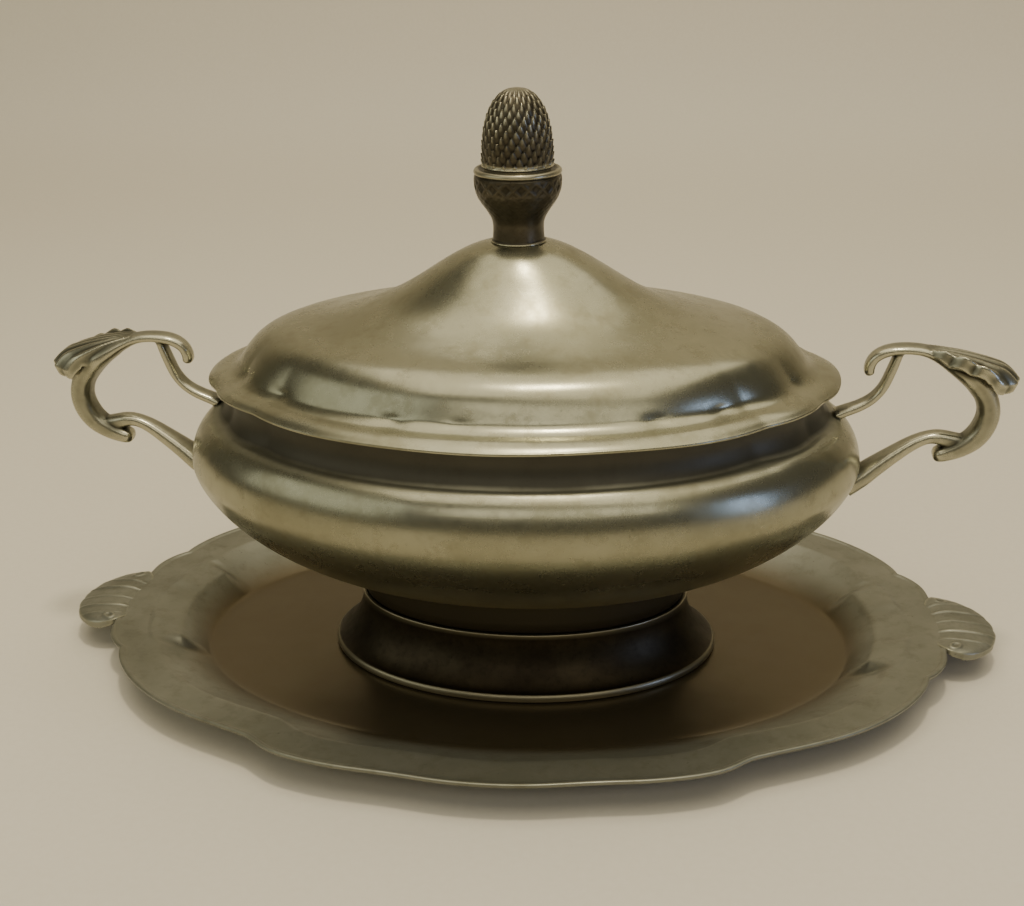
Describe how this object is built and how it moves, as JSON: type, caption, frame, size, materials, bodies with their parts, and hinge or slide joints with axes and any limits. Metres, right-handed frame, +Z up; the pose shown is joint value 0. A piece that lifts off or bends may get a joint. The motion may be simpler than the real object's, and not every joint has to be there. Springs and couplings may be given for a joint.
{
  "type": "pewter soup tureen on a stand",
  "caption": "Oval pewter soup tureen with a domed lid, acorn knob and scroll handles, standing on a lobed oval dish with shell lugs.",
  "frame": {"origin": "on the table, under the middle of the stand", "axes": "+X along the handles, towards the right one, +Y towards the back, +Z up"},
  "size_m": [0.382, 0.256, 0.2265],
  "materials": {
    "satin_pewter": "hand-polished sheet pewter, satin, warm grey",
    "dull_sheet_pewter": "worn sheet pewter, dull grey",
    "cast_pewter": "cast pewter, darker in the hollows",
    "dark_pewter": "oxidised cast pewter, bright on worn edges",
    "brass_hardware": "plain turned brass"
  },
  "bodies": {
    "stand": {"stand_plate": "dull_sheet_pewter", "stand_lug_left": "cast_pewter", "stand_lug_right": "cast_pewter"},
    "tureen": {"foot_ring": "dark_pewter", "bowl_lower": "satin_pewter", "bowl_upper": "satin_pewter", "handle_left": "cast_pewter", "handle_right": "cast_pewter"},
    "lid": {"lid_cover": "satin_pewter", "lid_locating_ring": "satin_pewter", "finial_cup": "dark_pewter", "finial_acorn": "dark_pewter", "finial_stud": "brass_hardware", "finial_washer": "brass_hardware", "finial_nut": "brass_hardware"}
  },
  "joints": [
    {"name": "tureen_lift", "type": "slide", "parent": "stand", "child": "tureen", "axis": [0, 0, 1], "range_m": [0, 0.1]},
    {"name": "lid_lift", "type": "slide", "parent": "tureen", "child": "lid", "axis": [0, 0, 1], "range_m": [0, 0.12]}
  ]
}
